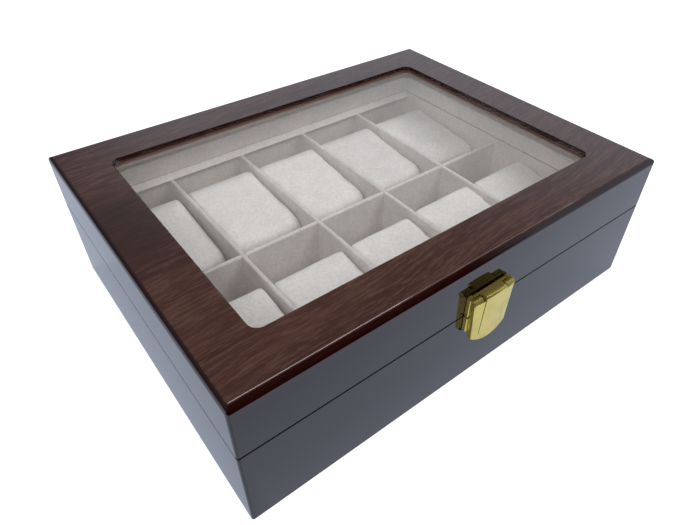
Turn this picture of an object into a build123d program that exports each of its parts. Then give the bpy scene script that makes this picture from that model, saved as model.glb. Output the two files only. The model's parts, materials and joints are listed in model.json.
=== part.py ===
"""Glass-topped watch display box with ten cushions, two butt hinges and a front flap latch.

Millimetres. +X runs along the long side, +Z is up, and the latch is on the -Y side.
The origin is the centre of the underside.
"""
import os
from math import atan, degrees

from build123d import *

# Driving sizes of the case
box_length = 260.0
box_depth = 200.0
box_height = 80.0
seam_height = 50.0        # underside of the closed lid
seam_gap = 0.4            # open line between the base and the lid
wall = 8.0                # veneered board
lining = 1.5              # suede on thin board
corner_radius = 1.2       # upright outer corners
top_edge_radius = 3.0     # rounded upper edge of the lid

# Base
felt = 1.0
felt_inset = 2.0
floor_thickness = 4.0
lining_drop = 0.6         # the linings stop this far under the rim, as a shadow line
rim_lip_reach = 3.0       # how far the suede lip along the back rim stands out
rim_lip_fall = 2.9        # and how far its face slopes down
divider_thickness = 2.5
divider_top_flat = 0.3    # left between the two round-overs along a divider
divider_height = 46.3     # top of the dividers above the table
long_divider_y = 1.0
cross_divider_pitch = 47.65

# Lid
top_panel = 6.0
window_length = 210.0
window_depth = 150.0
window_radius = 5.0
window_edge_chamfer = 0.4
glass_thickness = 3.0
glass_bearing = 4.0       # width of the rabbet that holds the glass
glass_play = 0.3          # round the glass in its rabbet
retainer = 1.5

# Cushions
cushion_width = 44.2
cushion_depth = 60.0
cushion_top = 44.0        # highest edge of a cushion, above the table
cushion_fall = 6.0        # the top slopes down to the front by this much
cushion_back_chamfer = 1.6
cushion_front_radius = 8.0
cushion_end_chamfer = 1.2
cushion_back_gap = 16.0   # room for a strap behind a cushion of the back row
cushion_front_gap = 21.5  # and of the front row
cushion_clearance = 0.1   # above the floor lining

# Hinges
hinge_positions = (-72.0, 72.0)
hinge_length = 30.0
leaf_thickness = 1.2
leaf_depth = 5.0          # how far a leaf reaches in over the rim
barrel_radius = 2.0
barrel_stand_off = 0.3    # between the barrel and the wall
hinge_pin_radius = 0.8
running_clearance = 0.05
knuckle_count = 3
knuckle_gap = 0.2

# Latch, in front of the middle of the front walls; "out" is a distance from the wall
latch_plate_half_width = 13.6
latch_plate_thickness = 2.4
latch_plate_edge = 0.3    # chamfer round a latch plate, at its front and at the wall
latch_top = 61.7          # top of the lid plate's posts and of the flap's hood
flap_pivot_out = 3.6
flap_pivot_height = 59.4
flap_front_out = 5.1      # front of the flap at its two upper corners
flap_bow = 0.9            # the middle of the flap's front stands out this much more
flap_sheet = 1.0
flap_top_half_width = 13.2
flap_corner_half_width = 11.6
flap_corner_height = 36.2
flap_bottom_height = 32.1
flap_edge_chamfer = 0.4
ear_radius = 1.7
ear_inner_x = 8.0
ear_outer_x = 13.1
pin_half_length = 12.9
tongue_top_half_width = 6.6
tongue_foot_half_width = 7.3
tongue_foot_height = 37.6
tongue_rise = 0.35        # the tongue leans out: flush at its foot, this proud at its top
slit_width = 0.3          # between the tongue and a rail
hood_back_out = 0.5       # rear edge of the tongue's folded top
hood_back_radius = 0.6
hood_fold_radius = 1.0
wing_half_width = 10.8    # the hood is wider behind the ears
wing_thickness = 0.7

overshoot = 1.0           # a cutting shape reaches this far past what it cuts

# Worked-out sizes
half_length = box_length / 2
half_depth = box_depth / 2
inner_x = half_length - wall
inner_y = half_depth - wall
lined_x = inner_x - lining
lined_y = inner_y - lining
base_top = seam_height - seam_gap
floor_top = felt + floor_thickness
lined_floor = floor_top + lining
panel_bottom = box_height - top_panel
glass_bottom = panel_bottom
retainer_bottom = panel_bottom - retainer
hinge_y = half_depth + barrel_stand_off + barrel_radius
hinge_z = seam_height - seam_gap / 2
front_y = -half_depth
flap_pivot_y = front_y - flap_pivot_out


def block(x_low, x_high, y_low, y_high, z_low, z_high):
    """A box given by its two opposite corners."""
    centre = Pos((x_low + x_high) / 2, (y_low + y_high) / 2, (z_low + z_high) / 2)
    return centre * Box(x_high - x_low, y_high - y_low, z_high - z_low)


def rod(x_low, x_high, y, z, radius):
    """A round bar that runs along X."""
    turned = Pos((x_low + x_high) / 2, y, z) * Rot(0, 90, 0)
    return turned * Cylinder(radius, x_high - x_low)


def side_prism(points, x_low, x_high):
    """A prism along X whose section is given by (y, z) points."""
    section = Plane.YZ.offset(x_low) * make_face(Polyline(*points, close=True))
    return extrude(section, x_high - x_low, dir=(1, 0, 0))


def front_prism(face, out_low, out_high):
    """A face drawn in (x, z), made solid between two distances out from the front wall."""
    upright = Plane((0, front_y - out_low, 0), x_dir=(1, 0, 0), z_dir=(0, -1, 0))
    return extrude(upright * face, out_high - out_low)


# ---- case walls -------------------------------------------------------------------------

def wall_ring(z_low, z_high):
    """All four walls between two heights, before they are cut at the mitres."""
    outer = RectangleRounded(box_length, box_depth, corner_radius)
    ring = outer - Rectangle(2 * inner_x, 2 * inner_y)
    return Pos(0, 0, z_low) * extrude(ring, z_high - z_low)


def mitre_wedge(side, z_low, z_high):
    """The ground that one wall covers, bounded by the 45 degree mitres."""
    out_x = half_length + overshoot
    out_y = half_depth + overshoot
    in_x = inner_x - overshoot
    in_y = inner_y - overshoot
    plans = {
        "front": [(-out_x, -out_y), (out_x, -out_y), (in_x, -in_y), (-in_x, -in_y)],
        "back": [(out_x, out_y), (-out_x, out_y), (-in_x, in_y), (in_x, in_y)],
        "left": [(-out_x, out_y), (-out_x, -out_y), (-in_x, -in_y), (-in_x, in_y)],
        "right": [(out_x, -out_y), (out_x, out_y), (in_x, in_y), (in_x, -in_y)],
    }
    plan = make_face(Polyline(*plans[side], close=True))
    return Pos(0, 0, z_low) * extrude(plan, z_high - z_low)


def wall_piece(side, z_low, z_high):
    return wall_ring(z_low, z_high) & mitre_wedge(side, z_low, z_high)


def hinge_recess(x, z_low, z_high):
    """The seat of a hinge leaf in the rim of a back wall."""
    half = hinge_length / 2
    y_in = half_depth - leaf_depth
    return block(x - half, x + half, y_in, half_depth + overshoot, z_low, z_high)


def make_base_walls():
    walls = {side: wall_piece(side, felt, base_top) for side in ("front", "back", "left", "right")}
    for x in hinge_positions:
        walls["back"] -= hinge_recess(x, base_top - leaf_thickness, base_top)
        walls["back"] -= screw_holes(x, "base")
    walls["front"] -= latch_screw_holes(base_latch_screws)
    return {f"base_{side}_wall": solid for side, solid in walls.items()}


def make_lid_walls():
    walls = {}
    for side in ("front", "back", "left", "right"):
        walls[side] = wall_piece(side, seam_height, panel_bottom)
    for x in hinge_positions:
        walls["back"] -= hinge_recess(x, seam_height, seam_height + leaf_thickness)
        walls["back"] -= screw_holes(x, "lid")
    walls["front"] -= latch_screw_holes(lid_latch_screws)
    return {f"lid_{side}_wall": solid for side, solid in walls.items()}


# ---- floor, linings and dividers --------------------------------------------------------

def make_floor():
    cover_length = box_length - 2 * felt_inset
    cover_depth = box_depth - 2 * felt_inset
    cover_plan = RectangleRounded(cover_length, cover_depth, 2 * corner_radius)
    return {
        "base_felt_cover": extrude(cover_plan, felt),
        "base_floor_panel": block(-inner_x, inner_x, -inner_y, inner_y, felt, floor_top),
        "floor_lining": block(-inner_x, inner_x, -inner_y, inner_y, floor_top, lined_floor),
    }


def lining_boards(prefix, z_low, z_high, back_top):
    """The four suede boards inside a set of walls; the ends of the long ones butt on the short ones."""
    return {
        f"{prefix}_front_lining": block(-lined_x, lined_x, -inner_y, -lined_y, z_low, z_high),
        f"{prefix}_back_lining": block(-lined_x, lined_x, lined_y, inner_y, z_low, back_top),
        f"{prefix}_left_lining": block(-inner_x, -lined_x, -inner_y, inner_y, z_low, z_high),
        f"{prefix}_right_lining": block(lined_x, inner_x, -inner_y, inner_y, z_low, z_high),
    }


def make_rim_lip():
    """The suede lip along the back rim: a sloping face over a flat underside on the dividers."""
    points = [
        (lined_y, base_top),
        (lined_y - rim_lip_reach, base_top - rim_lip_fall),
        (lined_y - rim_lip_reach, divider_height),
        (lined_y, divider_height),
    ]
    return side_prism(points, -lined_x, lined_x)


def upright_board(x_low, x_high, y_low, y_high):
    """A divider board with a round-over along both sides of its top edge."""
    board = block(x_low, x_high, y_low, y_high, lined_floor, divider_height)
    run = Axis.X if x_high - x_low > y_high - y_low else Axis.Y
    top_edges = board.faces().sort_by(Axis.Z)[-1].edges().filter_by(run)
    return fillet(top_edges, (divider_thickness - divider_top_flat) / 2)


def cross_divider_places():
    return [(number - 1.5) * cross_divider_pitch for number in range(4)]


def make_dividers():
    """A long divider slotted from above and four cross dividers slotted from below."""
    half = divider_thickness / 2
    lap = (lined_floor + divider_height) / 2
    boards = {}
    long_board = upright_board(-lined_x, lined_x, long_divider_y - half, long_divider_y + half)
    for number, x in enumerate(cross_divider_places(), start=1):
        y_low = long_divider_y - half
        y_high = long_divider_y + half
        slot_top = divider_height + overshoot
        long_board -= block(x - half, x + half, y_low - overshoot, y_high + overshoot, lap, slot_top)
        cross = upright_board(x - half, x + half, -lined_y, lined_y)
        cross -= block(x - half - overshoot, x + half + overshoot, y_low, y_high, 0, lap)
        boards[f"cross_divider_{number}"] = cross
    boards["long_divider"] = long_board
    return boards


# ---- cushions ---------------------------------------------------------------------------

def compartment_centres():
    """Middle of each of the five places in a row, from left to right."""
    half = divider_thickness / 2
    places = cross_divider_places()
    left_sides = [-lined_x] + [x + half for x in places]
    right_sides = [x - half for x in places] + [lined_x]
    return [(low + high) / 2 for low, high in zip(left_sides, right_sides)]


def cushion(x, y_back):
    """A pad that slopes to the front, with a tight back edge and a round front edge."""
    bottom = lined_floor + cushion_clearance
    y_front = y_back - cushion_depth
    section = [
        (y_back, bottom),
        (y_back, cushion_top),
        (y_front, cushion_top - cushion_fall),
        (y_front, bottom),
    ]
    pad = side_prism(section, x - cushion_width / 2, x + cushion_width / 2)
    front_edge = pad.edges().filter_by(Axis.X).sort_by(Axis.Z)[-2]
    pad = fillet(front_edge, cushion_front_radius)
    back_edge = pad.edges().filter_by(Axis.X).sort_by(Axis.Z)[-1]
    pad = chamfer(back_edge, cushion_back_chamfer)
    end_faces = pad.faces().filter_by(Axis.X)
    return chamfer(end_faces.edges(), cushion_end_chamfer)


def make_cushions():
    back_row = lined_y - cushion_back_gap
    front_row = long_divider_y - divider_thickness / 2 - cushion_front_gap
    pads = {}
    for number, x in enumerate(compartment_centres(), start=1):
        pads[f"cushion_back_{number}"] = cushion(x, back_row)
        pads[f"cushion_front_{number}"] = cushion(x, front_row)
    return pads


# ---- glazed top -------------------------------------------------------------------------

def window_plan(extra=0.0):
    return RectangleRounded(
        window_length + 2 * extra, window_depth + 2 * extra, window_radius + extra / 2
    )


def make_top_panel():
    """One panel over the whole lid, with the window and a rabbet for the glass below."""
    panel = block(-half_length, half_length, -half_depth, half_depth, panel_bottom, box_height)
    panel = fillet(panel.faces().sort_by(Axis.Z)[-1].edges(), top_edge_radius)
    corner_posts = Pos(0, 0, panel_bottom) * extrude(
        RectangleRounded(box_length, box_depth, corner_radius), top_panel
    )
    panel = panel & corner_posts
    panel -= Pos(0, 0, panel_bottom) * extrude(window_plan(), top_panel)
    rabbet = Pos(0, 0, panel_bottom) * extrude(window_plan(glass_bearing), glass_thickness)
    panel -= rabbet
    top_face = panel.faces().sort_by(Axis.Z)[-1]
    window_edges = top_face.inner_wires()[0].edges()
    return chamfer(window_edges, window_edge_chamfer)


def make_glazing():
    glass_plan = window_plan(glass_bearing - glass_play)
    glass = Pos(0, 0, glass_bottom) * extrude(glass_plan, glass_thickness)
    board = block(-inner_x, inner_x, -inner_y, inner_y, retainer_bottom, panel_bottom)
    board -= Pos(0, 0, retainer_bottom) * extrude(window_plan(), retainer)
    return {"glass_pane": glass, "glass_retainer": board}


# ---- hinges -----------------------------------------------------------------------------

screw_head_radius = 1.6
screw_shank_radius = 0.8
screw_length = 7.0
screw_head_height = 0.9
screw_spacing = 18.0
head_sides = 16           # small round parts are drawn as many-sided bars
shank_sides = 6
hinge_screw_y = half_depth - 2.2


def knuckle_spans(owner):
    """X spans of the barrel's knuckles, from the hinge's middle: odd ones on the base."""
    pitch = hinge_length / knuckle_count
    first = 0 if owner == "base" else 1
    spans = []
    for index in range(first, knuckle_count, 2):
        low = -hinge_length / 2 + index * pitch + knuckle_gap / 2
        spans.append((low, low + pitch - knuckle_gap))
    return spans


def tapered_bar(radius, end_radius, height, sides):
    """A many-sided bar that stands on the XY plane and tapers to its other end."""
    start = RegularPolygon(radius, sides)
    end = Pos(0, 0, height) * RegularPolygon(end_radius, sides)
    return loft([start, end], ruled=True)


def screw(x, y, z, up):
    """A countersunk screw: its flat head at z, its shank below it, or above it when up."""
    head = tapered_bar(screw_head_radius, screw_shank_radius, screw_head_height, head_sides)
    shank = tapered_bar(screw_shank_radius, screw_shank_radius, screw_length, shank_sides)
    return Pos(x, y, z) * Rot(0 if up else 180, 0, 0) * (head + shank)


def hinge_screws_at(x, owner):
    z = base_top if owner == "base" else seam_height
    offsets = (-screw_spacing / 2, screw_spacing / 2)
    return [screw(x + offset, hinge_screw_y, z, owner == "lid") for offset in offsets]


def screw_holes(x, owner):
    """The holes that the screws fill in the wood."""
    return Part() + hinge_screws_at(x, owner)


def hinge_leaf(x, owner):
    """One leaf with its knuckles rolled round the pin."""
    z_low = base_top - leaf_thickness if owner == "base" else seam_height
    z_high = z_low + leaf_thickness
    half = hinge_length / 2
    bore = hinge_pin_radius if owner == "base" else hinge_pin_radius + running_clearance
    leaf = block(x - half, x + half, half_depth - leaf_depth, half_depth, z_low, z_high)
    for low, high in knuckle_spans(owner):
        leaf += block(x + low, x + high, half_depth, hinge_y, z_low, z_high)
        leaf += rod(x + low, x + high, hinge_y, hinge_z, barrel_radius)
    leaf -= rod(x - half - overshoot, x + half + overshoot, hinge_y, hinge_z, bore)
    for solid in hinge_screws_at(x, owner):
        leaf -= solid
    return leaf


def make_hinges():
    nodes = {}
    for side, x in zip(("left", "right"), hinge_positions):
        nodes[f"{side}_hinge_base_leaf"] = hinge_leaf(x, "base")
        nodes[f"{side}_hinge_lid_leaf"] = hinge_leaf(x, "lid")
        half = hinge_length / 2
        nodes[f"{side}_hinge_pin"] = rod(x - half, x + half, hinge_y, hinge_z, hinge_pin_radius)
    for owner in ("base", "lid"):
        solids = []
        for x in hinge_positions:
            solids += hinge_screws_at(x, owner)
        nodes[f"hinge_{owner}_screws"] = Compound(children=solids)
    return nodes


# ---- latch ------------------------------------------------------------------------------

latch_gap = 0.3                 # between a latch plate and the seam
post_inner_x = 11.2             # the lid plate's posts stand beside the flap's hood
lid_plate_shoulder = 58.9       # top of the lid plate between the posts
ear_seat_bottom = 57.3          # the lid plate is thinner here, behind the flap's ears
ear_seat_out = 1.8
ear_seat_half_width = 13.2
lug_half_width = 6.0
lug_radius = 1.2
lug_web_bottom = 58.0
lug_web_top = 59.6
latch_pin_radius = 0.7
base_plate_bottom = 40.2
plate_corner_radius = 1.2
catch_half_width = 6.5
catch_bottom = 42.0
catch_top = 47.0
catch_out = 3.9
catch_nose_height = 44.6
catch_nose_radius = 0.6
side_wall_back_out = 2.6        # rear edge of the flap's folded sides
latch_screw_length = 6.0
latch_head_radius = 1.6
latch_head_edge = 0.3           # straight rim of a screw head
latch_head_crown = 0.4          # and the cone on it
lid_latch_screws = ((-8.9, 54.0), (8.9, 54.0))
base_latch_screws = ((-8.9, 44.6), (8.9, 44.6))


def latch_screw(x, z):
    """A pan-headed screw driven straight back; its head sits on a latch plate."""
    rim = tapered_bar(latch_head_radius, latch_head_radius, latch_head_edge, head_sides)
    top_radius = latch_head_radius - latch_head_crown
    crown = tapered_bar(latch_head_radius, top_radius, latch_head_crown, head_sides)
    head = rim + Pos(0, 0, latch_head_edge) * crown
    seat = Pos(x, front_y - latch_plate_thickness, z) * Rot(90, 0, 0)
    return seat * head + latch_shank(x, z)


def latch_shank(x, z):
    """The part of a latch screw that passes through its plate into the wall."""
    length = latch_plate_thickness + latch_screw_length
    shank = tapered_bar(screw_shank_radius, screw_shank_radius, length, shank_sides)
    return Pos(x, front_y - latch_plate_thickness, z) * Rot(-90, 0, 0) * shank


def latch_screw_holes(places):
    """The holes that a pair of latch screws fill in the plate and in the wall behind it."""
    return Part() + [latch_shank(x, z) for x, z in places]


def latch_plate(z_low, z_high, rounded_end):
    """A thick plate on the front wall, rounded at its two outer corners and chamfered all round."""
    half = latch_plate_half_width
    plate = block(-half, half, front_y - latch_plate_thickness, front_y, z_low, z_high)
    corners = plate.edges().filter_by(Axis.Y).group_by(Axis.Z)[rounded_end]
    plate = fillet(corners, plate_corner_radius)
    outline = plate.faces().filter_by(Axis.Y).edges()
    return chamfer(outline, latch_plate_edge)


def lid_latch_plate():
    """Back plate with a post at each top corner and, between them, the lug that holds the pin."""
    half = latch_plate_half_width
    seat = ear_seat_half_width
    plate_back = front_y
    plate_front = front_y - latch_plate_thickness
    plate = latch_plate(seam_height + latch_gap, latch_top, -1)
    plate -= block(-post_inner_x, post_inner_x, plate_front, plate_back, lid_plate_shoulder, latch_top)
    plate -= block(-seat, seat, plate_front, front_y - ear_seat_out, ear_seat_bottom, latch_top)
    lug = lug_half_width
    plate += block(-lug, lug, flap_pivot_y, plate_back, lug_web_bottom, lug_web_top)
    plate += rod(-lug, lug, flap_pivot_y, flap_pivot_height, lug_radius)
    plate -= rod(-half, half, flap_pivot_y, flap_pivot_height, latch_pin_radius)
    return plate - latch_screw_holes(lid_latch_screws)


def base_latch_plate():
    """Back plate, catch block and the rounded nose that the flap snaps over."""
    plate_front = front_y - latch_plate_thickness
    plate = latch_plate(base_plate_bottom, base_top - latch_gap, 0)
    catch = catch_half_width
    plate += block(-catch, catch, front_y - catch_out, plate_front, catch_bottom, catch_top)
    plate += rod(-catch, catch, front_y - catch_out, catch_nose_height, catch_nose_radius)
    return plate - latch_screw_holes(base_latch_screws)


def flap_outline(inset=0.0):
    """Front view of the flap: straight tapering sides and a bowed lower edge."""
    top = flap_pivot_height
    top_half = flap_top_half_width - inset
    corner_half = flap_corner_half_width - inset
    return make_face([
        Line((-top_half, top), (-corner_half, flap_corner_height)),
        ThreePointArc(
            (-corner_half, flap_corner_height),
            (0, flap_bottom_height + inset),
            (corner_half, flap_corner_height),
        ),
        Line((corner_half, flap_corner_height), (top_half, top)),
        Line((top_half, top), (-top_half, top)),
    ])


def tongue_outline(extra=0.0, foot=tongue_foot_height):
    """Front view of the tongue; extra widens it to the cut that frees it from the rails."""
    top_half = tongue_top_half_width + extra
    foot_half = tongue_foot_half_width + extra
    above = latch_top + overshoot
    points = [(-foot_half, foot), (foot_half, foot), (top_half, above), (-top_half, above)]
    return make_face(Polyline(*points, close=True))


def bowed_block(behind, z_low, z_high):
    """All that lies between the wall and the bowed front, or a surface that far behind it."""
    half = flap_top_half_width
    side = front_y - flap_front_out + behind
    crown = side - flap_bow
    plan = make_face([
        ThreePointArc((-half, side), (0, crown), (half, side)),
        Line((half, side), (half, front_y)),
        Line((half, front_y), (-half, front_y)),
        Line((-half, front_y), (-half, side)),
    ])
    return Pos(0, 0, z_low) * extrude(plan, z_high - z_low)


def tongue():
    """The springy middle of the flap: a bowed front that folds back over the pin as a hood."""
    root = tongue_foot_height - flap_sheet
    outer = bowed_block(0, root, latch_top)
    shell = outer - bowed_block(flap_sheet, root, latch_top - flap_sheet)
    front_fold = shell.edges().filter_by(GeomType.CIRCLE).sort_by(Axis.Z)[-1]
    shell = fillet(front_fold, hood_fold_radius)
    lean = degrees(atan(tongue_rise / (latch_top - tongue_foot_height)))
    foot = Pos(0, front_y - flap_front_out, tongue_foot_height)
    leaning = foot * Rot(lean, 0, 0) * foot.inverse() * shell
    reach = flap_front_out + flap_bow + tongue_rise + overshoot
    shaped = leaning & front_prism(tongue_outline(foot=root), hood_back_out, reach)
    wing_front = front_y - (flap_pivot_out - ear_radius)
    wing_back = front_y - hood_back_out
    wing_bottom = latch_top - wing_thickness
    wing = block(-wing_half_width, wing_half_width, wing_front, wing_back, wing_bottom, latch_top)
    level = block(-wing_half_width, wing_half_width, front_y - reach, front_y, 0, latch_top)
    hood = (shaped + wing) & level
    rear_edge = hood.edges().filter_by(Axis.X).group_by(Axis.Y)[-1].sort_by(Axis.Z)[-1]
    return fillet(rear_edge, hood_back_radius)


def flap():
    """Sheet-metal flap: folded sides, two rails with ears on the pin, and the tongue between them."""
    low = flap_bottom_height
    high = flap_pivot_height
    reach = flap_front_out + flap_bow + overshoot
    whole = front_prism(flap_outline(), side_wall_back_out, reach)
    sheet = whole & bowed_block(0, low, high)
    front_edges = sheet.faces().sort_by(Axis.Y)[0].edges().sort_by(Axis.Z)
    sheet = chamfer(front_edges[:-1], flap_edge_chamfer)
    inside = front_prism(flap_outline(flap_sheet), side_wall_back_out, reach)
    sheet -= inside & bowed_block(flap_sheet, low, high)
    sheet -= front_prism(tongue_outline(slit_width), 0, reach)
    for sign in (-1, 1):
        ends = sorted((sign * ear_inner_x, sign * ear_outer_x))
        sheet += rod(*ends, flap_pivot_y, flap_pivot_height, ear_radius)
    bore = latch_pin_radius + running_clearance
    half = flap_top_half_width + overshoot
    return sheet + tongue() - rod(-half, half, flap_pivot_y, flap_pivot_height, bore)


def make_latch():
    half = pin_half_length
    return {
        "latch_lid_plate": lid_latch_plate(),
        "latch_base_plate": base_latch_plate(),
        "latch_pin": rod(-half, half, flap_pivot_y, flap_pivot_height, latch_pin_radius),
        "latch_flap": flap(),
        "latch_lid_screws": Compound(children=[latch_screw(x, z) for x, z in lid_latch_screws]),
        "latch_base_screws": Compound(children=[latch_screw(x, z) for x, z in base_latch_screws]),
    }


def make_box():
    nodes = {}
    nodes.update(make_base_walls())
    nodes.update(make_floor())
    nodes.update(lining_boards("base", lined_floor, base_top - lining_drop, base_top))
    nodes["base_rim_lining"] = make_rim_lip()
    nodes.update(make_dividers())
    nodes.update(make_lid_walls())
    nodes["lid_top_panel"] = make_top_panel()
    nodes.update(make_glazing())
    nodes.update(lining_boards("lid", seam_height, retainer_bottom, retainer_bottom))
    nodes.update(make_hinges())
    nodes.update(make_latch())
    nodes.update(make_cushions())
    return nodes


os.makedirs("parts", exist_ok=True)
for name, solid in make_box().items():
    export_step(solid, f"parts/{name}.step")
    print(name)
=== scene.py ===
"""Looks of the glass-topped watch box: lacquered veneer, suede linings, padded cushions and brass latch.

Metres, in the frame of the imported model: +X along the long side, -Y the latch side, +Z up.
"""

import json
from math import cos, radians, sin

import bmesh
import bpy
from mathutils import Matrix, Vector, noise

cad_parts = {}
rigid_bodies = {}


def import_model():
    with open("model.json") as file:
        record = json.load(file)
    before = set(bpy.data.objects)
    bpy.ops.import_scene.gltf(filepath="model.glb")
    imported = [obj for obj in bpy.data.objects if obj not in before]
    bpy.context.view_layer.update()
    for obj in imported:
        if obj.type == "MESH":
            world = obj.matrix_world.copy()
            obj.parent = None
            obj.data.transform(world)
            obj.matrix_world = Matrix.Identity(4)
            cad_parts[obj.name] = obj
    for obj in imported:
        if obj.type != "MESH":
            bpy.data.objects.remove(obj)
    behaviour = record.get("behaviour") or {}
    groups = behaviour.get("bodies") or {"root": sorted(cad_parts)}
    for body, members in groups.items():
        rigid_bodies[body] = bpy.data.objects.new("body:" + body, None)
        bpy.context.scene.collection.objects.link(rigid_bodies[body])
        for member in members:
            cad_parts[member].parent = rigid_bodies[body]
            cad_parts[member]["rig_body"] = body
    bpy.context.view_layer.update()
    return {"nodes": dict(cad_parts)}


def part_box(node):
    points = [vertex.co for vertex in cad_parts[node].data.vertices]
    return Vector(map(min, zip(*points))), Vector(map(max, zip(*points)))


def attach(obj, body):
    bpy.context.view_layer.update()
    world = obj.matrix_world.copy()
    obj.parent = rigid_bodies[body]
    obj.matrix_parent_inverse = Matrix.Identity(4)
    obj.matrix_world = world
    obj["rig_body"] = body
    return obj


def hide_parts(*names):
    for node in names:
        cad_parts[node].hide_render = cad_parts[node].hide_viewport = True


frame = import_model()
nodes = frame["nodes"]
scene = bpy.context.scene

MM = 0.001
WHITE = (1, 1, 1, 1)
SIDES = ("front", "back", "left", "right")

# The eye: its place, its turns in degrees from a level view along +Y, and its lens.
EYE = Vector((-0.160443, -0.207584, 0.237824))
EYE_YAW = 38.677
EYE_PITCH = 41.388
EYE_ROLL = -0.824
FILM_WIDTH = 36
FOCAL_LENGTH = 28.79
FILM_SHIFT = (-0.01524, -0.00394)

# Strengths of light: what the room sheds, what the eye sees behind the box, and the paper's own glow.
ROOM_LIGHT = 0.10
BACKDROP = 1.0
PAPER_GLOW = 0.80
PAPER_SHADE = (0.55, 0.58, 0.62)
FLOOR_HALF_WIDTH = 4.0

# Cool tints of the room in polished faces, and of the paper's painted glow there.
MIRRORED_ROOM = (0.78, 0.93, 1.09)
MIRRORED_PAPER = (0.84, 0.935, 1.17)

# Veneer shades, from the dark ground to the lightest flecks; the painted shade of upright faces and
# round-overs, which catch less light, a lighter brown on the window's walls at the glass, and the share
# of it laid on; and how much darker the walls are painted than the top, also a painted shade.
GROUND_DARK = (0.050, 0.0165, 0.0110)
GROUND_MIDDLE = (0.086, 0.0345, 0.0240)
STREAK_WARM = (0.124, 0.0640, 0.0460)
FLECK_GOLD = (0.240, 0.1350, 0.0750)
UPRIGHT_PAINTED_SHADE = (0.0130, 0.0008, 0.0006)
WINDOW_RIM_BROWN = (0.13, 0.060, 0.050)
UPRIGHT_SHADE_SHARE = 0.93
WALL_SHADE_SHARE = 0.4
WALL_GRAIN_SHIFT = 0.31

# A painted shade over the lid's left-hand strip, where less light falls: its centre, the core where it
# is darkest, and its reach.
LEFT_STRIP_SHADE_CENTRE = (-0.120, 0.010, 0.080)
LEFT_STRIP_SHADE_CORE = 8 * MM
LEFT_STRIP_SHADE_REACH = 34 * MM

# Cushion covers: the plain solid is drawn in a little, remeshed, swollen and dented.
COVER_INSET = 0.3 * MM
COVER_VOXEL = 2.0 * MM
SWELL_PRESSURE = 2.5
SWELL_CAP = 0.8 * MM
SWELL_FRAMES = 20
DENT_DEPTH = 0.5 * MM
DENTS_PER_METRE = 60
CUSHIONS_IN_ROW = 5
CUSHION_TILT = {"back_2": -1.5, "front_1": 1.0}
CUSHION_RISE = {"front_1": 2.6 * MM, "front_4": 2.4 * MM, "front_5": 1.6 * MM}
DARKER_CUSHION = "back_4"


# ---- node trees --------------------------------------------------------------------------

def rgba(shade, share=1.0):
    """A shade with full alpha, darkened to a share of itself."""
    return tuple(share * part for part in shade[:3]) + (1,)


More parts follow.
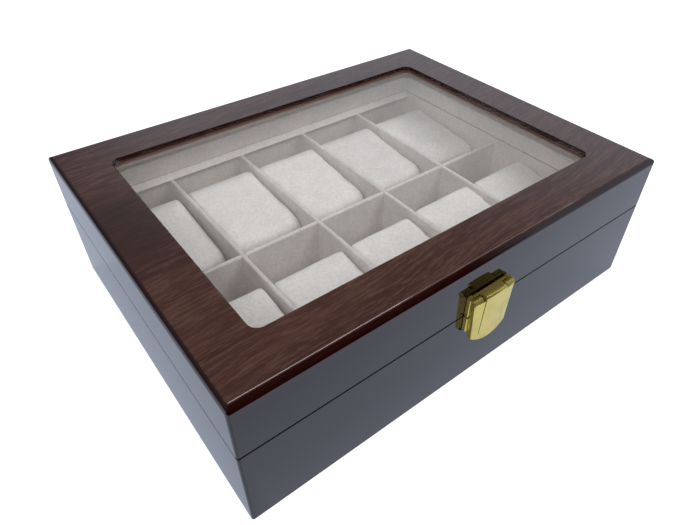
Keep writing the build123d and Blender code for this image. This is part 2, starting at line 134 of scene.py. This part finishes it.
class Nodes:
    """A node tree with short calls for the few kinds of node that the finishes need."""

    def __init__(self, tree):
        self.tree = tree

    def add(self, kind, **settings):
        made = self.tree.nodes.new(kind)
        for name, value in settings.items():
            setattr(made, name, value)
        return made

    def join(self, source, target):
        self.tree.links.new(source, target)

    def feed(self, socket, value):
        """A socket takes a plain value, or the output of another node."""
        if isinstance(value, bpy.types.NodeSocket):
            self.join(value, socket)
        elif value is not None:
            socket.default_value = value

    def rays(self):
        """Where a ray is the eye's, straight or through glass, and where it is a mirrored one."""
        path = self.add("ShaderNodeLightPath").outputs
        seen = self.math("MAXIMUM", path["Is Camera Ray"], path["Is Transmission Ray"])
        mirrored = self.math("SUBTRACT", path["Is Glossy Ray"], path["Is Transmission Ray"], clamp=True)
        return seen, mirrored

    def math(self, operation, first, second=None, clamp=False):
        made = self.add("ShaderNodeMath", operation=operation, use_clamp=clamp)
        self.feed(made.inputs[0], first)
        self.feed(made.inputs[1], second)
        return made.outputs[0]

    def times(self, first, second):
        return self.math("MULTIPLY", first, second)

    def plus(self, first, second):
        return self.math("ADD", first, second)

    def vector(self, operation, first, second):
        """Two vectors added, multiplied or the like."""
        made = self.add("ShaderNodeVectorMath", operation=operation)
        self.feed(made.inputs[0], first)
        self.feed(made.inputs[1], second)
        return made

    def ramp(self, value, low, high, to_low=0.0, to_high=1.0):
        """Value between low and high, spread smoothly over another range."""
        made = self.add("ShaderNodeMapRange", interpolation_type="SMOOTHSTEP")
        self.feed(made.inputs["Value"], value)
        made.inputs["From Min"].default_value = low
        made.inputs["From Max"].default_value = high
        made.inputs["To Min"].default_value = to_low
        made.inputs["To Max"].default_value = to_high
        return made.outputs["Result"]

    def blend(self, share, first, second):
        """A colour between two colours."""
        made = self.add("ShaderNodeMix", data_type="RGBA")
        self.feed(made.inputs["Factor"], share)
        self.feed(made.inputs["A"], first)
        self.feed(made.inputs["B"], second)
        return made.outputs["Result"]

    def between(self, share, first, second):
        """A number between two numbers."""
        made = self.add("ShaderNodeMix", data_type="FLOAT")
        self.feed(made.inputs["Factor"], share)
        self.feed(made.inputs["A"], first)
        self.feed(made.inputs["B"], second)
        return made.outputs["Result"]

    def place(self, stretch=(1, 1, 1), shift=(0, 0, 0)):
        """Object coordinates, stretched for a pattern that runs one way."""
        source = self.add("ShaderNodeTexCoord")
        mapping = self.add("ShaderNodeMapping")
        mapping.inputs["Location"].default_value = shift
        mapping.inputs["Scale"].default_value = stretch
        self.join(source.outputs["Object"], mapping.inputs["Vector"])
        return mapping.outputs["Vector"]

    def split(self, vector):
        """The X, Y and Z outputs of a vector."""
        made = self.add("ShaderNodeSeparateXYZ")
        self.join(vector, made.inputs[0])
        return made.outputs

    def cloud(self, where, scale, detail=2.0, rough=0.5, output="Fac"):
        made = self.add("ShaderNodeTexNoise")
        self.join(where, made.inputs["Vector"])
        made.inputs["Scale"].default_value = scale
        made.inputs["Detail"].default_value = detail
        made.inputs["Roughness"].default_value = rough
        return made.outputs[output]

    def relief(self, height, strength, distance, over=None):
        """Small bumps from a height, laid over another relief where one is given."""
        made = self.add("ShaderNodeBump")
        made.inputs["Strength"].default_value = strength
        made.inputs["Distance"].default_value = distance
        self.join(height, made.inputs["Height"])
        if over:
            self.join(over, made.inputs["Normal"])
        return made.outputs["Normal"]


def new_finish(name, roughness, metallic=0.0, specular=0.5):
    """A material, its node calls and its main shader."""
    made = bpy.data.materials.new(name)
    made.use_nodes = True
    shader = made.node_tree.nodes["Principled BSDF"]
    shader.inputs["Roughness"].default_value = roughness
    shader.inputs["Metallic"].default_value = metallic
    shader.inputs["Specular IOR Level"].default_value = specular
    return made, Nodes(made.node_tree), shader


# ---- camera and studio -------------------------------------------------------------------

def set_up_camera():
    """A hand-held view down onto the lid from beyond the near left corner."""
    yaw = radians(EYE_YAW)
    pitch = radians(EYE_PITCH)
    roll = radians(EYE_ROLL)
    forward = Vector((sin(yaw) * cos(pitch), cos(yaw) * cos(pitch), -sin(pitch)))
    level_right = Vector((cos(yaw), -sin(yaw), 0))
    down = forward.cross(level_right)
    right = cos(roll) * level_right + sin(roll) * down
    up = sin(roll) * level_right - cos(roll) * down
    lens = bpy.data.cameras.new("camera")
    lens.sensor_width = FILM_WIDTH
    lens.lens = FOCAL_LENGTH
    lens.shift_x, lens.shift_y = FILM_SHIFT
    lens.clip_start = 10 * MM
    camera = bpy.data.objects.new("camera", lens)
    turn = Matrix((right, up, -forward)).transposed()
    camera.matrix_world = Matrix.Translation(EYE) @ turn.to_4x4()
    scene.collection.objects.link(camera)
    scene.camera = camera


def soft_lamp(name, place, aim, width, depth, power, mirrored=False):
    """A soft box; only a mirrored one shows itself in polished faces."""
    lamp = bpy.data.lights.new(name, "AREA")
    lamp.shape = "RECTANGLE"
    lamp.size = width
    lamp.size_y = depth
    lamp.energy = power
    holder = bpy.data.objects.new(name, lamp)
    holder.location = place
    holder.rotation_euler = (Vector(aim) - Vector(place)).to_track_quat("-Z", "Y").to_euler()
    holder.visible_glossy = mirrored
    scene.collection.objects.link(holder)


def hang_the_lamps():
    """Two narrow boxes overhead draw the light line along the lid's edge; three wide ones only light."""
    overhead_height = 1.0
    overhead_depth = 0.24
    behind = 0.20
    for name, x, width, power in (("key", 0.26, 0.52, 2.6), ("key_end", 0.86, 0.68, 0.9)):
        place = (x, behind, overhead_height)
        soft_lamp(name, place, (x, behind, 0), width, overhead_depth, power, mirrored=True)
    middle_of_box = (0, 0, 0.05)
    soft_lamp("front_left", (-0.8, -0.8, 1.2), middle_of_box, 1.2, 0.7, 9.6)
    soft_lamp("front_right", (0.8, -0.8, 1.2), middle_of_box, 1.2, 0.7, 8.6)
    soft_lamp("left", (-1.2, 0.1, 0.9), middle_of_box, 1.1, 0.6, 2.5)


def room_in_the_polish(kit, way):
    """What polished faces see each way: a pale low wall behind and to the right, and a dark room.

    Each range is one of a direction's X, Y or Z, and the strengths that it spreads over.
    """
    behind = kit.ramp(way["Y"], 0.02, 0.30)
    beside = kit.ramp(way["X"], 0.62, 0.82)
    to_the_right = kit.ramp(way["X"], 0.05, 0.30, 0.08, 1.0)
    low_down = kit.ramp(way["Z"], 0.40, 0.68, 0.62, 0.0)
    pale = kit.times(kit.math("MAXIMUM", behind, beside), to_the_right)
    front_right = kit.times(kit.ramp(way["X"], 0.60, 0.72, 0.0, 0.6),
                            kit.ramp(way["Y"], -0.12, 0.05, 1.0, 0.0))
    wall = kit.math("MAXIMUM", kit.times(pale, low_down), front_right)
    ceiling = kit.times(kit.ramp(way["Z"], 0.20, 0.60, 0.08, 0.22),
                        kit.ramp(way["Y"], -0.35, 0.25, 0.2, 1.0))
    return kit.plus(wall, ceiling)


def light_the_room():
    """Dim even light from all round, behind which the eye sees white."""
    world = bpy.data.worlds.new("studio")
    world.use_nodes = True
    scene.world = world
    kit = Nodes(world.node_tree)
    background = world.node_tree.nodes["Background"]
    way = kit.split(kit.add("ShaderNodeTexCoord").outputs["Generated"])
    seen, mirrored = kit.rays()
    shed = kit.between(mirrored, ROOM_LIGHT, room_in_the_polish(kit, way))
    kit.join(kit.between(seen, shed, BACKDROP), background.inputs["Strength"])
    kit.join(kit.blend(mirrored, WHITE, rgba(MIRRORED_ROOM)), background.inputs["Color"])


def paper_glow(kit, place):
    """Where the paper counts as lit for polished faces, and how brightly its painted glow shows there.

    It is lit as far as a line in front of the box, and less strongly to the right of a slanting line.
    It glows less just left of the box's near left corner, a painted shadow of the box, and more again
    further off.
    """
    close_in_front = kit.ramp(place["Y"], -0.183, -0.158)
    to_the_right = kit.ramp(kit.plus(place["X"], place["Y"]), -0.13, -0.07, 0.0, 0.6)
    lit = kit.math("MAXIMUM", close_in_front, to_the_right)
    past_the_corner = kit.ramp(place["X"], -0.132, -0.118, 0.46, 0.63)
    further_left = kit.ramp(place["X"], -0.19, -0.14, 0.25, 0.0)
    level = kit.plus(past_the_corner, further_left)
    return lit, kit.times(level, lit)


def studio_paper():
    """Pale paper that keeps the box's shadow: white to the eye; in polished faces a painted glow, with
    painted light and a painted shadow of the box.
    """
    paper, kit, shader = new_finish("studio_paper", 0.9, specular=0.0)
    shader.inputs["Base Color"].default_value = rgba(PAPER_SHADE)
    seen, mirrored = kit.rays()
    lit, glow = paper_glow(kit, kit.split(kit.place()))
    # Painted light: for polished faces the paper glows, and its own lit colour is dimmed where it counts
    # as unlit.
    lift = kit.add("ShaderNodeEmission")
    kit.join(kit.blend(mirrored, WHITE, rgba(MIRRORED_PAPER)), lift.inputs["Color"])
    kit.join(kit.plus(kit.times(seen, PAPER_GLOW), kit.times(mirrored, glow)), lift.inputs["Strength"])
    dim = kit.add("ShaderNodeMixShader")
    unlit = kit.math("SUBTRACT", 1.0, kit.times(lit, 0.5))
    kit.join(kit.times(mirrored, unlit), dim.inputs["Fac"])
    kit.join(shader.outputs["BSDF"], dim.inputs[1])
    both = kit.add("ShaderNodeAddShader")
    kit.join(dim.outputs["Shader"], both.inputs[0])
    kit.join(lift.outputs["Emission"], both.inputs[1])
    kit.join(both.outputs["Shader"], paper.node_tree.nodes["Material Output"].inputs["Surface"])
    return paper


def lay_the_floor():
    """One wide flat sheet of paper under the box."""
    sheet = bmesh.new()
    bmesh.ops.create_grid(sheet, x_segments=1, y_segments=1, size=FLOOR_HALF_WIDTH)
    mesh = bpy.data.meshes.new("floor")
    sheet.to_mesh(mesh)
    sheet.free()
    mesh.materials.append(studio_paper())
    floor = bpy.data.objects.new("floor", mesh)
    scene.collection.objects.link(floor)


# ---- veneer ------------------------------------------------------------------------------

def grain_drift(kit, where):
    """How far the grain strays sideways: slow swirls, long waves and a slight slope along X."""
    swirls = kit.cloud(kit.place((0.35, 1, 1), where), 14, detail=1, output="Color")
    bend = kit.vector("MULTIPLY", swirls, (0, 9 * MM, 9 * MM)).outputs[0]
    along = kit.split(kit.place(shift=(18 * MM, 0, 0)))["X"]
    waves = kit.times(kit.math("SINE", kit.times(along, 46.0)), -1.4 * MM)
    slope = kit.add("ShaderNodeCombineXYZ")
    kit.join(kit.plus(waves, kit.times(along, -0.095)), slope.inputs["Y"])
    return kit.vector("ADD", bend, slope.outputs[0]).outputs[0]


def veneer_figure(kit, where, depth):
    """The figure of a flat face: bands, streaks and threads along X, gold flecks, and a painted shade
    over the lid's left-hand strip.
    """
    drift = grain_drift(kit, where)

    def grain(length, across, detail, rough=0.55):
        """Streaks drawn out along X, so many times longer than they are wide."""
        wavy = kit.vector("ADD", kit.place((1.0 / length, 1, 1), where), drift).outputs[0]
        return kit.cloud(wavy, across, detail, rough)

    bands = grain(18, 170, 3)
    streaks = grain(10, 800, 3, 0.6)
    threads = grain(7, 1800, 2)
    flecks = grain(7, 1700, 1)
    patches = kit.cloud(kit.place((0.5, 1, 1), where), 48)
    dark = rgba(GROUND_DARK, depth)
    colour = kit.blend(kit.ramp(bands, 0.30, 0.66), dark, rgba(GROUND_MIDDLE, depth))
    colour = kit.blend(kit.times(kit.ramp(streaks, 0.48, 0.66), 0.60), colour, rgba(STREAK_WARM, depth))
    colour = kit.blend(kit.times(kit.ramp(streaks, 0.52, 0.36), 0.60), colour, dark)
    colour = kit.blend(kit.times(kit.ramp(threads, 0.50, 0.66), 0.55), colour, dark)
    glint = kit.times(kit.ramp(flecks, 0.62, 0.76), kit.ramp(patches, 0.45, 0.66))
    colour = kit.blend(kit.times(glint, 0.30), colour, rgba(FLECK_GOLD, depth))
    # Painted shade: the colour darkens round a point over the lid's left-hand strip, where less light
    # falls.
    from_shade_centre = kit.vector("DISTANCE", kit.place((1, 0.7, 1)), LEFT_STRIP_SHADE_CENTRE).outputs["Value"]
    left_strip_shade = kit.times(kit.ramp(from_shade_centre, LEFT_STRIP_SHADE_CORE, LEFT_STRIP_SHADE_REACH, 1.0, 0.0), 0.75)
    return kit.blend(left_strip_shade, colour, rgba(dark, 0.55))


def shade_at_window_rim(kit, edge):
    """The painted shade of upright faces, a lighter brown on the window's walls just above the glass."""
    glass_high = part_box("glass_pane")[1]
    place = kit.split(kit.place())
    in_length = kit.math("LESS_THAN", kit.math("ABSOLUTE", place["X"]), glass_high.x)
    in_depth = kit.math("LESS_THAN", kit.math("ABSOLUTE", place["Y"]), glass_high.y)
    low_down = kit.ramp(place["Z"], glass_high.z - 0.4 * MM, glass_high.z + 1.6 * MM, 1.0, 0.0)
    near_glass = kit.times(kit.times(in_length, in_depth), low_down)
    return kit.blend(near_glass, edge, rgba(WINDOW_RIM_BROWN))


def veneer(name, shift=0.0, depth=1.0, window=False, eased_at=None):
    """Dark red-brown veneer under thick gloss lacquer, its grain along X; depth scales its colour, and a
    depth below 1 paints the walls darker as shade.

    Upright faces and round-overs get a painted shade, nearly black, since they catch less light; on a
    window's walls just above the glass it is a lighter brown.
    An edge at the height eased_at is rounded off a little from below.
    """
    made, kit, shader = new_finish(name, 0.5, specular=0.0)
    colour = veneer_figure(kit, (shift, shift, shift), depth)
    upward = kit.split(kit.add("ShaderNodeTexCoord").outputs["Normal"])["Z"]
    flat = kit.ramp(kit.math("ABSOLUTE", upward), 0.90, 0.995)
    # Painted shade: faces that are not level take a near-black colour in place of most of the figure.
    painted_shade = rgba(UPRIGHT_PAINTED_SHADE, depth)
    if window:
        painted_shade = shade_at_window_rim(kit, painted_shade)
    kit.join(kit.blend(flat, kit.blend(UPRIGHT_SHADE_SHARE, colour, painted_shade), colour), shader.inputs["Base Color"])
    shader.inputs["Coat Weight"].default_value = 1.0
    shader.inputs["Coat Roughness"].default_value = 0.025
    shader.inputs["Coat IOR"].default_value = 1.5
    polish = kit.relief(kit.cloud(kit.place(), 32, detail=1), 0.03, 0.3 * MM)
    if eased_at:
        fall = kit.ramp(kit.split(kit.place())["Z"], eased_at - 0.7 * MM, eased_at, 1.0, 0.0)
        polish = kit.relief(fall, 1.0, 0.4 * MM, over=polish)
    kit.join(polish, shader.inputs["Coat Normal"])
    return made


# ---- other finishes ----------------------------------------------------------------------

def suede(name, shade, rubbed, nap=0.35):
    """Flocked suede: short fibres, with soft marks where the nap lies the other way."""
    made, kit, shader = new_finish(name, 0.95, specular=0.1)
    where = kit.place()
    marks = kit.cloud(where, 95, detail=3, rough=0.6)
    fibres = kit.cloud(where, 1500, rough=0.6)
    grain = kit.cloud(where, 640)
    colour = kit.blend(kit.ramp(marks, 0.3, 0.7), rgba(shade), rgba(rubbed))
    colour = kit.blend(kit.times(kit.ramp(grain, 0.4, 0.65), 0.45), colour, rgba(shade, 0.82))
    kit.join(colour, shader.inputs["Base Color"])
    height = kit.plus(fibres, kit.times(grain, 0.7))
    kit.join(kit.relief(height, nap, 0.4 * MM), shader.inputs["Normal"])
    shader.inputs["Sheen Weight"].default_value = 0.25
    shader.inputs["Sheen Roughness"].default_value = 0.5
    return made


def polished_brass():
    """Lacquered brass, softly polished, with faint buffing marks and a little unevenness."""
    made, kit, shader = new_finish("brass", 0.2, metallic=0.78)
    shade = (0.77, 0.62, 0.150)
    smudge = kit.cloud(kit.place(), 130)
    colour = kit.blend(kit.ramp(smudge, 0.35, 0.7), rgba(shade), rgba(shade, 0.90))
    kit.join(colour, shader.inputs["Base Color"])
    kit.join(kit.ramp(smudge, 0.3, 0.75, 0.15, 0.26), shader.inputs["Roughness"])
    buffing = kit.cloud(kit.place((1, 1, 0.08)), 2600, detail=1)
    wave = kit.cloud(kit.place(), 200, detail=1)
    height = kit.plus(kit.times(buffing, 0.15), wave)
    kit.join(kit.relief(height, 0.06, 0.3 * MM), shader.inputs["Normal"])
    return made


def dark_metal():
    """Dark screws: their dark bronze colour is partly a painted shade of the latch's corners, with paler
    spots where the bronzing is worn through.
    """
    made, kit, shader = new_finish("dark_screw", 0.3, metallic=1.0)
    wear = kit.cloud(kit.place(), 700)
    # Partly painted shade: the screws' dark bronze.
    bronze_and_shade = rgba((0.10, 0.07, 0.03))
    worn = rgba((0.34, 0.24, 0.10))
    kit.join(kit.blend(kit.ramp(wear, 0.45, 0.7), bronze_and_shade, worn), shader.inputs["Base Color"])
    kit.join(kit.ramp(wear, 0.3, 0.7, 0.22, 0.42), shader.inputs["Roughness"])
    return made


def felt():
    """Short dark felt, a little lumpy."""
    made, kit, shader = new_finish("felt", 1.0, specular=0.05)
    where = kit.place()
    fibres = kit.cloud(where, 1300, detail=3, rough=0.7)
    lumps = kit.cloud(where, 180)
    deep = rgba((0.020, 0.018, 0.018))
    pale = rgba((0.055, 0.050, 0.050))
    kit.join(kit.blend(kit.ramp(fibres, 0.35, 0.7), deep, pale), shader.inputs["Base Color"])
    kit.join(kit.relief(kit.plus(fibres, lumps), 0.6, 0.5 * MM), shader.inputs["Normal"])
    shader.inputs["Sheen Weight"].default_value = 0.4
    return made


def card(node):
    """Smooth card strip that holds the glass: pale towards its foot, painted lighter than card to offset
    the frame's shadow over it, and brown where it meets the wood, a painted shade under the frame.
    """
    made, kit, shader = new_finish("window_card", 0.6, specular=0.3)
    mottle = kit.cloud(kit.place(), 60)
    pale = kit.blend(kit.ramp(mottle, 0.3, 0.7), rgba((0.56, 0.500, 0.470)), rgba((0.64, 0.580, 0.545)))
    low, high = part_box(node)
    upwards = kit.ramp(kit.split(kit.place())["Z"], low.z, high.z)
    # Painted shade: the colour darkens to brown towards the top of the strip, under the frame.
    kit.join(kit.blend(upwards, pale, rgba((0.30, 0.190, 0.165))), shader.inputs["Base Color"])
    return made


def raw_board():
    """Bare fibreboard, with darker and paler chips."""
    made, kit, shader = new_finish("fibreboard", 0.85, specular=0.2)
    chips = kit.cloud(kit.place(), 900, detail=3, rough=0.7)
    dark = rgba((0.30, 0.20, 0.12))
    pale = rgba((0.44, 0.32, 0.20))
    kit.join(kit.blend(kit.ramp(chips, 0.35, 0.7), dark, pale), shader.inputs["Base Color"])
    kit.join(kit.relief(chips, 0.3, 0.3 * MM), shader.inputs["Normal"])
    return made


def clear_glass():
    """Float glass; lamps and soft light pass straight through it into the box."""
    made, kit, shader = new_finish("glass", 0.0, specular=0.32)
    shader.inputs["Base Color"].default_value = WHITE
    shader.inputs["Specular Tint"].default_value = (1.0, 0.80, 0.66, 1)
    shader.inputs["Transmission Weight"].default_value = 1.0
    shader.inputs["IOR"].default_value = 1.5
    rays = kit.add("ShaderNodeLightPath").outputs
    through = kit.add("ShaderNodeBsdfTransparent")
    through.inputs["Color"].default_value = (0.94, 0.94, 0.94, 1)
    pick = kit.add("ShaderNodeMixShader")
    kit.join(kit.math("MAXIMUM", rays["Is Shadow Ray"], rays["Is Diffuse Ray"]), pick.inputs["Fac"])
    kit.join(shader.outputs["BSDF"], pick.inputs[1])
    kit.join(through.outputs["BSDF"], pick.inputs[2])
    kit.join(pick.outputs["Shader"], made.node_tree.nodes["Material Output"].inputs["Surface"])
    return made


# ---- cushions ----------------------------------------------------------------------------

def apply_modifiers(piece):
    """The piece takes the mesh that its modifiers give, and drops the modifiers."""
    scene.view_layers[0].update()
    depsgraph = bpy.context.evaluated_depsgraph_get()
    mesh = bpy.data.meshes.new_from_object(piece.evaluated_get(depsgraph))
    piece.modifiers.clear()
    old = piece.data
    piece.data = mesh
    bpy.data.meshes.remove(old)


def reshape(piece, kind, **settings):
    """Applies one modifier to the piece."""
    modifier = piece.modifiers.new(kind.lower(), kind)
    for name, value in settings.items():
        setattr(modifier, name, value)
    apply_modifiers(piece)


def swell(piece):
    """Blows the cover up a little like filled cloth; no point moves further than the cap."""
    start = [v.co.copy() for v in piece.data.vertices]
    cloth = piece.modifiers.new("cloth", "CLOTH")
    cloth.settings.use_pressure = True
    cloth.settings.uniform_pressure_force = SWELL_PRESSURE
    cloth.settings.effector_weights.gravity = 0
    cloth.settings.tension_stiffness = 25
    cloth.settings.compression_stiffness = 25
    cloth.settings.bending_stiffness = 2.0
    cloth.point_cache.frame_end = SWELL_FRAMES
    for number in range(1, SWELL_FRAMES + 1):
        scene.frame_set(number)
    apply_modifiers(piece)
    scene.frame_set(1)
    for v, before in zip(piece.data.vertices, start):
        move = v.co - before
        if move.length > SWELL_CAP:
            v.co = before + move.normalized() * SWELL_CAP


def drawn_in_copy(node):
    """A copy of the plain cushion, drawn in a little all round to leave room for the swelling."""
    low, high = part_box(node)
    cover = bpy.data.objects.new(node + "_cover", nodes[node].data.copy())
    scene.collection.objects.link(cover)
    shell = bmesh.new()
    shell.from_mesh(cover.data)
    bmesh.ops.remove_doubles(shell, verts=shell.verts, dist=0.02 * MM)
    shrink = Vector([(part - 2 * COVER_INSET) / part for part in high - low])
    about_middle = Matrix.Translation(-(low + high) / 2)
    bmesh.ops.scale(shell, vec=shrink, verts=shell.verts, space=about_middle)
    shell.to_mesh(cover.data)
    shell.free()
    return cover


def settle_in_place(cover, node, tilt, rise, seed):
    """Dents the cover, plumps it up and tips it about its back foot, between its side limits."""
    low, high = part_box(node)
    middle = (low + high) / 2
    size = high - low
    back_foot = Vector((middle.x, high.y, low.z))
    turn = Matrix.Rotation(radians(tilt), 3, "X")
    for v in cover.data.vertices:
        across = (v.co.x - middle.x) / (size.x / 2)
        dent = noise.noise(v.co * DENTS_PER_METRE + Vector((seed * 3.1, 0, 0)))
        v.co.z += DENT_DEPTH * dent * (1 - across ** 4) + rise * (v.co.z - low.z) / size.z
        v.co = back_foot + turn @ (v.co - back_foot)
        v.co.x = min(max(v.co.x, low.x), high.x)
        v.co.z = max(v.co.z, low.z)


def cushion_cover(node, finish, tilt, rise, seed):
    """A stuffed suede cushion in the space of its plain solid."""
    cover = drawn_in_copy(node)
    reshape(cover, "REMESH", mode="VOXEL", voxel_size=COVER_VOXEL, use_smooth_shade=True)
    reshape(cover, "SMOOTH", factor=0.5, iterations=3)
    swell(cover)
    reshape(cover, "SUBSURF", levels=1, render_levels=1)
    settle_in_place(cover, node, tilt, rise, seed)
    for face in cover.data.polygons:
        face.use_smooth = True
    cover.data.materials.clear()
    cover.data.materials.append(finish)
    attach(cover, nodes[node]["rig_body"])
    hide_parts(node)


def make_cushions():
    """Ten covers, each a little unlike the others."""
    cream = suede("cushion_suede", (0.81, 0.780, 0.755), (0.88, 0.850, 0.825), nap=0.25)
    # One cover, back_4's, is a slightly darker cream.
    darker_cream = suede("cushion_suede_darker", (0.73, 0.700, 0.680), (0.80, 0.770, 0.750), nap=0.25)
    seed = {"back": 0, "front": CUSHIONS_IN_ROW}
    for row in ("back", "front"):
        for number in range(1, CUSHIONS_IN_ROW + 1):
            place = f"{row}_{number}"
            finish = darker_cream if place == DARKER_CUSHION else cream
            tilt = CUSHION_TILT.get(place, 0.0)
            rise = CUSHION_RISE.get(place, 0.0)
            cushion_cover(f"cushion_{place}", finish, tilt, rise, seed[row] + number)


# ---- the whole box -----------------------------------------------------------------------

def dress(finish, *names):
    """Puts one finish on each named solid."""
    for name in names:
        mesh = nodes[name].data
        mesh.materials.clear()
        mesh.materials.append(finish)


def dress_the_case():
    """Veneered panel and walls, board and felt underneath."""
    dress(veneer("top_veneer", window=True), "lid_top_panel")
    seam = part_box("base_front_wall")[1].z
    walls = [f"{part}_{side}_wall" for part in ("base", "lid") for side in SIDES]
    # The walls' veneer is painted darker than the top's, a painted shade of the case's sides.
    dress(veneer("wall_veneer", WALL_GRAIN_SHIFT, WALL_SHADE_SHARE, eased_at=seam), *walls)
    dress(felt(), "base_felt_cover")
    dress(raw_board(), "base_floor_panel")


def dress_the_window():
    """The pane, and the card strip that holds it."""
    dress(clear_glass(), "glass_pane")
    dress(card("glass_retainer"), "glass_retainer")


def dress_the_linings():
    """Warm grey suede; the rim's copy is paler, a painted light where the rim catches the light from the
    front, and the dividers' copy is cooler and a little darker, a painted shade.
    """
    linings = [f"{part}_{side}_lining" for part in ("base", "lid") for side in SIDES]
    dress(suede("lining_suede", (0.71, 0.640, 0.595), (0.78, 0.710, 0.660)), "floor_lining", *linings)
    # Painted light: the rim's suede is a paler copy of the lining's.
    dress(suede("rim_suede_lit", (0.82, 0.755, 0.705), (0.88, 0.815, 0.765)), "base_rim_lining")
    dividers = [f"cross_divider_{number}" for number in range(1, CUSHIONS_IN_ROW)]
    # Painted shade: the dividers' suede is a cooler, slightly darker copy of the lining's.
    dress(suede("divider_suede_shaded", (0.68, 0.635, 0.615), (0.76, 0.715, 0.695)), "long_divider", *dividers)


def dress_the_metalwork():
    """Brass latch and hinges, and dark screws in the latch's plates."""
    latch = [f"latch_{part}" for part in ("lid_plate", "base_plate", "pin", "flap")]
    hinge_parts = ("base_leaf", "lid_leaf", "pin")
    hinges = [f"{side}_hinge_{part}" for side in ("left", "right") for part in hinge_parts]
    dress(polished_brass(), "hinge_base_screws", "hinge_lid_screws", *latch, *hinges)
    dress(dark_metal(), "latch_lid_screws", "latch_base_screws")


set_up_camera()
light_the_room()
lay_the_floor()
hang_the_lamps()
dress_the_case()
dress_the_window()
dress_the_linings()
dress_the_metalwork()
make_cushions()

scene.view_settings.view_transform = "Standard"
